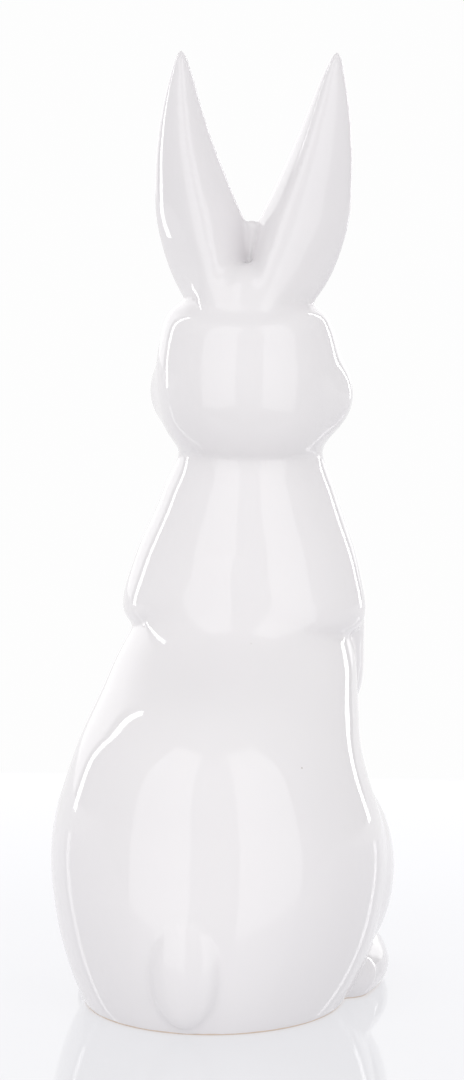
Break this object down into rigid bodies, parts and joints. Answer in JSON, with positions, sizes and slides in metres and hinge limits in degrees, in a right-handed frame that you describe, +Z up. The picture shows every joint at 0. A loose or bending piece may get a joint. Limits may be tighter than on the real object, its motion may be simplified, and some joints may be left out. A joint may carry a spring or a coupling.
{
  "type": "rabbit figurine",
  "caption": "White glazed ceramic rabbit sitting upright with tall leaf-shaped ears, front paws held at the chest and a small round tail.",
  "frame": {"origin": "on the table under the middle of the bounding box", "axes": "+Z up along the ears, -Y towards the rabbit's face, +X towards the rabbit's left"},
  "size_m": [0.0978, 0.1202, 0.275],
  "materials": {
    "glaze": "glossy white glaze"
  },
  "bodies": {
    "root": {"rabbit": "glaze"}
  },
  "joints": []
}
